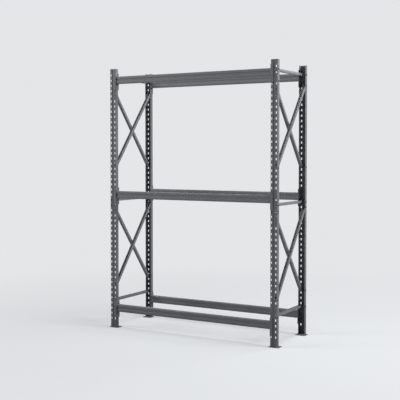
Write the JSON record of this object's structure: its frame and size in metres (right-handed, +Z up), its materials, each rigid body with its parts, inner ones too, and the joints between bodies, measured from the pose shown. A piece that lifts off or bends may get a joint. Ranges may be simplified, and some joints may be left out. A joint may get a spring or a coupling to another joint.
{
  "type": "pallet rack frame",
  "caption": "Free-standing pallet rack with slotted channel uprights on foot plates, cross-braced end frames and hooked box beams at several levels.",
  "frame": {"origin": "on the floor, in the middle of the rack's footprint", "axes": "+X along the beams to the right as seen from the front, +Y from the front to the rear, +Z up"},
  "size_m": [1.81, 0.653, 2.5],
  "materials": {
    "upright_paint": "smooth dark grey powder coat, satin",
    "beam_paint": "smooth dark grey powder coat, satin",
    "connector_paint": "smooth dark grey powder coat, satin",
    "brace_paint": "smooth dark grey powder coat, satin"
  },
  "bodies": {
    "root": {"beam_bottom_front": "beam_paint", "beam_bottom_rear": "beam_paint", "beam_middle_front": "beam_paint", "beam_middle_rear": "beam_paint", "beam_top_front": "beam_paint", "beam_top_rear": "beam_paint", "connector_bottom_front_left": "connector_paint", "connector_bottom_front_right": "connector_paint", "connector_bottom_rear_left": "connector_paint", "connector_bottom_rear_right": "connector_paint", "connector_middle_front_left": "connector_paint", "connector_middle_front_right": "connector_paint", "connector_middle_rear_left": "connector_paint", "connector_middle_rear_right": "connector_paint", "connector_top_front_left": "connector_paint", "connector_top_front_right": "connector_paint", "connector_top_rear_left": "connector_paint", "connector_top_rear_right": "connector_paint", "falling_brace_lower_left": "brace_paint", "falling_brace_lower_right": "brace_paint", "falling_brace_upper_left": "brace_paint", "falling_brace_upper_right": "brace_paint", "foot_plate_front_left": "upright_paint", "foot_plate_front_right": "upright_paint", "foot_plate_rear_left": "upright_paint", "foot_plate_rear_right": "upright_paint", "horizontal_brace_bottom_left": "brace_paint", "horizontal_brace_bottom_right": "brace_paint", "horizontal_brace_middle_left": "brace_paint", "horizontal_brace_middle_right": "brace_paint", "horizontal_brace_top_left": "brace_paint", "horizontal_brace_top_right": "brace_paint", "rising_brace_lower_left": "brace_paint", "rising_brace_lower_right": "brace_paint", "rising_brace_upper_left": "brace_paint", "rising_brace_upper_right": "brace_paint", "upright_front_left": "upright_paint", "upright_front_right": "upright_paint", "upright_rear_left": "upright_paint", "upright_rear_right": "upright_paint"}
  },
  "joints": []
}
